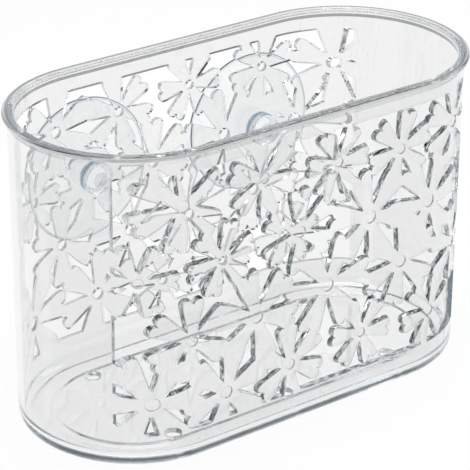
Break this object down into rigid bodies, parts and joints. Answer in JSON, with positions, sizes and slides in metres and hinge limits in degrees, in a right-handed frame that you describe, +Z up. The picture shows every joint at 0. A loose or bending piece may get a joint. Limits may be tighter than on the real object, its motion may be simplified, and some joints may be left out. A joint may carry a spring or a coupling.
{
  "type": "storage caddy",
  "caption": "Clear oval bath caddy with flower openwork in its long walls, a flanged rim, a drained floor, and soft suction cups that swivel in the back wall and hold it on smooth tiles.",
  "frame": {"origin": "under the middle of the overall footprint, on the plane that the basket stands on", "axes": "+X along the basket's length, +Y from the front wall to the suction cups, +Z up"},
  "size_m": [0.194, 0.0972, 0.1245],
  "materials": {
    "basket": "clear, polished",
    "suction_cup": "clear, soft, glossy"
  },
  "bodies": {
    "basket": {"basket": "basket"},
    "left_cup": {"suction_cup_left": "suction_cup"},
    "right_cup": {"suction_cup_right": "suction_cup"}
  },
  "joints": [
    {"name": "left_cup_swivel", "type": "hinge", "parent": "basket", "child": "left_cup", "pos_m": [-0.04, 0.0423, 0.0796], "axis": [0, 1, 0], "continuous": true},
    {"name": "right_cup_swivel", "type": "hinge", "parent": "basket", "child": "right_cup", "pos_m": [0.04, 0.0423, 0.0796], "axis": [0, 1, 0], "continuous": true}
  ]
}
